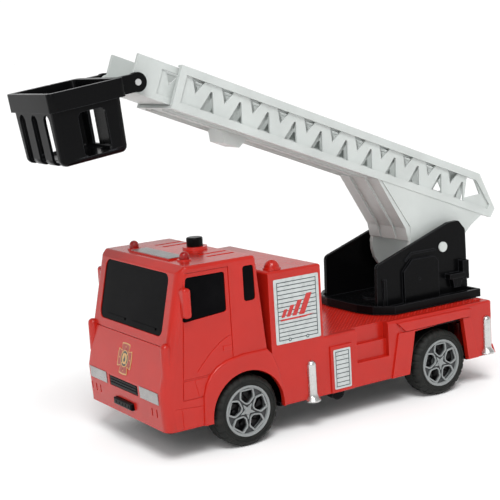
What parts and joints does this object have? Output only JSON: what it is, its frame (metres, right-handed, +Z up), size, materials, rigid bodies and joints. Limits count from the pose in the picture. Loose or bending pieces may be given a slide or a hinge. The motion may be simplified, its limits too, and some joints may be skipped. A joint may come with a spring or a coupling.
{
  "type": "toy fire engine",
  "caption": "Toy fire engine with rolling wheels, a friction drive, a swinging turntable and a lifting, extending ladder that carries a tilting basket.",
  "frame": {"origin": "on the ground under the middle of the whole length and width", "axes": "+Z up, the nose faces -Y, the left side is +X"},
  "size_m": [0.0964, 0.2854, 0.2013],
  "materials": {
    "red_plastic": "moulded, semi-gloss",
    "black_gloss": "gloss",
    "black_plastic": "satin",
    "silver_foil": "printed foil",
    "badge_print": "printed",
    "label_print": "printed",
    "silver_plastic": "plated",
    "steel": "satin",
    "speaker_black": "matte",
    "board_green": "coated",
    "lamp_red": "translucent",
    "gear_white": "satin",
    "white_plastic": "satin",
    "pin_grey": "satin",
    "tyre": "matte rubber-like",
    "rim_grey": "satin"
  },
  "bodies": {
    "truck": {"cab_shell": "red_plastic", "body_shell": "red_plastic", "windscreen": "black_gloss", "side_glazing_left": "black_gloss", "side_glazing_right": "black_gloss", "front_grille": "black_plastic", "bumper_block": "black_plastic", "headlight_left": "silver_foil", "headlight_right": "silver_foil", "front_badge": "badge_print", "roof_panel": "silver_foil", "shutter_label_left": "label_print", "shutter_label_right": "label_print", "locker_label_left": "label_print", "locker_label_right": "label_print", "outrigger_front_left": "silver_plastic", "outrigger_front_right": "silver_plastic", "outrigger_rear_left": "silver_plastic", "outrigger_rear_right": "silver_plastic", "chassis_base": "black_plastic", "chassis_screws": "steel", "battery_cells": "steel", "battery_cover": "black_plastic", "battery_cover_screw": "steel", "speaker": "speaker_black", "circuit_board": "board_green", "beacon_left": "lamp_red", "beacon_right": "lamp_red", "button_spring": "steel", "drive_case_left": "black_plastic", "drive_case_right": "black_plastic"},
    "button": {"push_button": "black_plastic"},
    "front_wheels": {"front_axle": "steel", "front_tyre_left": "tyre", "front_rim_left": "rim_grey", "front_tyre_right": "tyre", "front_rim_right": "rim_grey"},
    "rear_wheels": {"rear_axle": "steel", "rear_tyre_left": "tyre", "rear_rim_left": "rim_grey", "rear_tyre_right": "tyre", "rear_rim_right": "rim_grey", "axle_gear": "gear_white"},
    "idler": {"compound_gear": "gear_white"},
    "flywheel": {"flywheel": "steel"},
    "turntable": {"turntable": "black_plastic", "turntable_washer": "steel", "turntable_screw": "steel"},
    "ladder": {"outer_ladder": "white_plastic"},
    "fly_ladder": {"inner_ladder": "white_plastic"},
    "basket": {"basket": "black_plastic", "basket_pins": "pin_grey"}
  },
  "joints": [
    {"name": "front_axle_spin", "type": "hinge", "parent": "truck", "child": "front_wheels", "pos_m": [0, -0.0555, 0.0186], "axis": [1, 0, 0], "continuous": true},
    {"name": "rear_axle_spin", "type": "hinge", "parent": "truck", "child": "rear_wheels", "pos_m": [0, 0.0745, 0.0186], "axis": [1, 0, 0], "continuous": true},
    {"name": "idler_spin", "type": "hinge", "parent": "truck", "child": "idler", "pos_m": [0, 0.06729, 0.02581], "axis": [1, 0, 0], "continuous": true},
    {"name": "flywheel_spin", "type": "hinge", "parent": "truck", "child": "flywheel", "pos_m": [0, 0.05724, 0.02404], "axis": [1, 0, 0], "continuous": true},
    {"name": "turntable_swing", "type": "hinge", "parent": "truck", "child": "turntable", "pos_m": [0, 0.0775, 0.0486], "axis": [0, 0, 1], "continuous": true},
    {"name": "ladder_lift", "type": "hinge", "parent": "turntable", "child": "ladder", "pos_m": [0, 0.0946, 0.0805], "axis": [-1, 0, 0], "range_deg": [-18.5, 39]},
    {"name": "ladder_extend", "type": "slide", "parent": "ladder", "child": "fly_ladder", "axis": [0, -0.9336, 0.3584], "range_m": [0, 0.105]},
    {"name": "basket_tilt", "type": "hinge", "parent": "fly_ladder", "child": "basket", "pos_m": [0, -0.09196, 0.18746], "axis": [1, 0, 0], "range_deg": [-45, 35]},
    {"name": "button_press", "type": "slide", "parent": "truck", "child": "button", "axis": [0, 0, -1], "range_m": [0, 0.0012], "stiffness_N_per_m": 400, "springref_m": -0.001, "deforming": ["button_spring"]}
  ],
  "couplings": [
    {"joint": "idler_spin", "follows": "rear_axle_spin", "ratio": -2.4},
    {"joint": "flywheel_spin", "follows": "rear_axle_spin", "ratio": 5.76}
  ]
}
